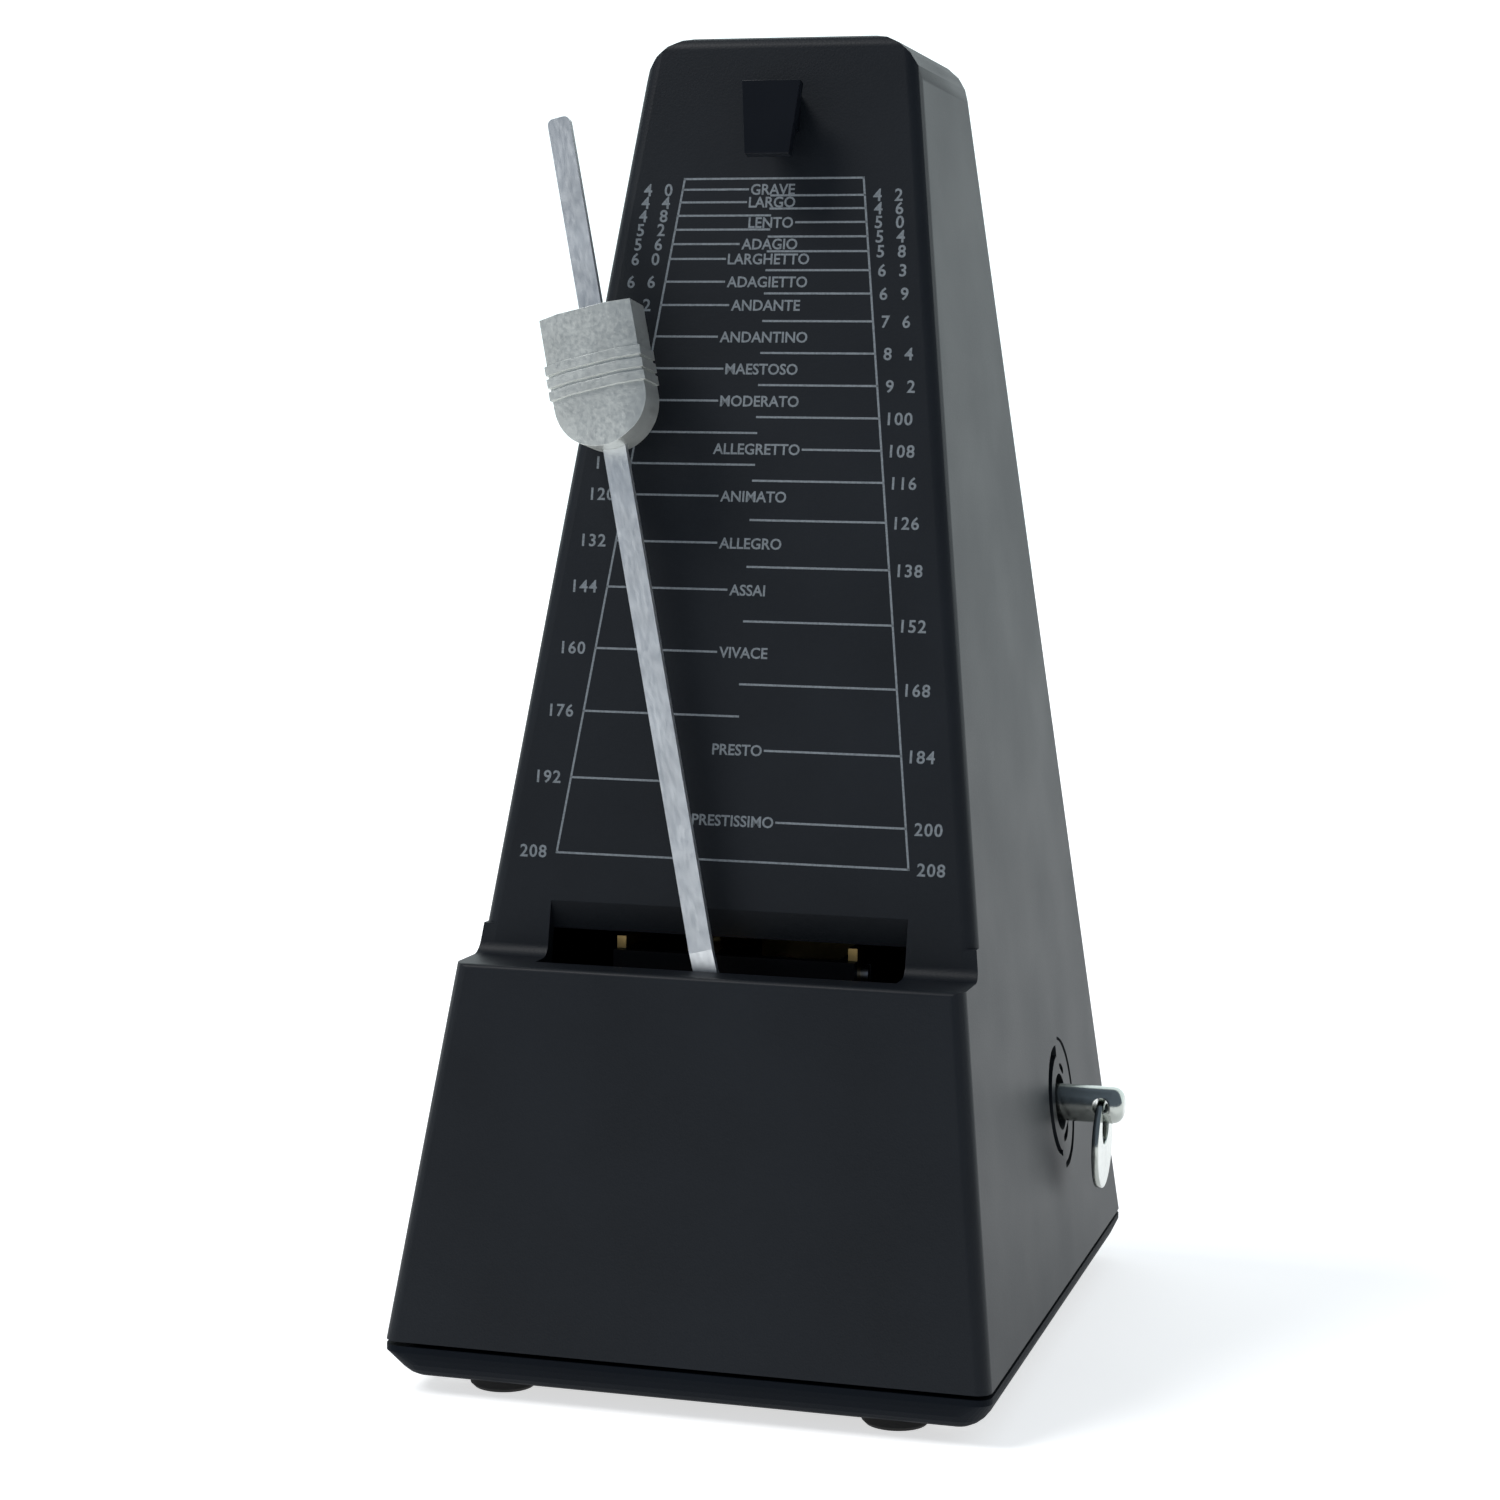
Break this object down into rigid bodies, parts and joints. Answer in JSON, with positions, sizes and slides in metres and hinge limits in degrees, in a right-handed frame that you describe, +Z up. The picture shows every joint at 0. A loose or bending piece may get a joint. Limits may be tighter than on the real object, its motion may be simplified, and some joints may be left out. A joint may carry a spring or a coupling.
{
  "type": "metronome",
  "caption": "Pyramid-shaped wind-up metronome with a swinging rod, a sliding weight, a scale plate, a side winding key and an open gear movement inside.",
  "frame": {"origin": "on the table, straight under the middle of the body at its seam", "axes": "+Z up, +Y towards the back, +X towards the winding key, with the scale facing -Y"},
  "size_m": [0.1046, 0.1256, 0.2155],
  "materials": {
    "case": "fine matte texture, black",
    "tray": "fine matte texture, black",
    "rubber": "matte black",
    "catch": "smooth satin black",
    "zinc_screws": "zinc plated",
    "brass": "stamped, satin",
    "black_steel": "blackened, satin",
    "bronze": "sintered bronze",
    "steel": "turned bright",
    "spring_steel": "blued",
    "rod_steel": "brushed along its length",
    "nickel": "satin nickel plating on a die casting",
    "chrome": "bright nickel plating",
    "iron": "turned, oiled"
  },
  "bodies": {
    "housing": {"case_shell": "case", "base_tray": "tray", "rubber_feet": "rubber", "base_screws": "zinc_screws", "rod_catch": "catch", "catch_screw": "zinc_screws", "left_plate": "brass", "right_plate": "brass", "plate_pillars": "steel", "pillar_screws": "zinc_screws", "movement_screws": "zinc_screws", "front_bridge": "black_steel", "bridge_screws": "zinc_screws", "rear_potence": "brass", "potence_screws": "zinc_screws", "staff_bushes": "bronze", "winding_bushes": "bronze", "second_bushes": "bronze", "escape_bush": "bronze"},
    "winder": {"winding_arbor": "steel", "spring_collet": "steel", "mainspring": "spring_steel", "key_pin": "chrome", "ratchet_wheel": "steel", "retaining_ring": "steel"},
    "key_ring": {"key_ring": "chrome"},
    "great_wheel": {"great_wheel": "brass", "click_spring": "steel", "click_screws": "zinc_screws"},
    "click": {"click": "steel"},
    "second_arbor": {"second_arbor": "steel", "second_pinion": "steel", "second_wheel": "brass"},
    "escape_arbor": {"escape_arbor": "steel", "escape_pinion": "steel", "crown_wheel": "brass"},
    "pendulum": {"pendulum_staff": "steel", "pallets": "steel", "pendulum_hub": "brass", "pendulum_rod": "rod_steel", "hub_rivets": "steel", "counterweight": "iron"},
    "sliding_weight": {"sliding_weight": "nickel", "weight_spring": "steel"}
  },
  "joints": [
    {"name": "pendulum_swing", "type": "hinge", "parent": "housing", "child": "pendulum", "pos_m": [0, -0.01693, 0.061], "axis": [0, 1, 0], "range_deg": [-14.5, 41.5]},
    {"name": "weight_slide", "type": "slide", "parent": "pendulum", "child": "sliding_weight", "axis": [-0.2309, 0.1461, 0.9619], "range_m": [-0.08, 0.021]},
    {"name": "winding_turn", "type": "hinge", "parent": "housing", "child": "winder", "pos_m": [0, 0.0155, 0.0375], "axis": [1, 0, 0], "continuous": true, "deforming": ["mainspring"]},
    {"name": "ring_swing", "type": "hinge", "parent": "winder", "child": "key_ring", "pos_m": [0.05222, 0.0155, 0.0377], "axis": [0, -1, 0], "range_deg": [-15, 180]},
    {"name": "great_wheel_turn", "type": "hinge", "parent": "housing", "child": "great_wheel", "pos_m": [0, 0.0155, 0.0375], "axis": [1, 0, 0], "continuous": true},
    {"name": "click_lift", "type": "hinge", "parent": "great_wheel", "child": "click", "pos_m": [0.0109, 0.0155, 0.0509], "axis": [1, 0, 0], "range_deg": [-10, 0], "deforming": ["click_spring"]},
    {"name": "second_turn", "type": "hinge", "parent": "housing", "child": "second_arbor", "pos_m": [0, -0.00058, 0.05505], "axis": [1, 0, 0], "continuous": true},
    {"name": "escape_turn", "type": "hinge", "parent": "housing", "child": "escape_arbor", "pos_m": [0, -0.01693, 0.061], "axis": [1, 0, 0], "continuous": true}
  ],
  "couplings": [
    {"joint": "second_turn", "follows": "great_wheel_turn", "ratio": -4.6667},
    {"joint": "escape_turn", "follows": "great_wheel_turn", "ratio": 22.4}
  ]
}
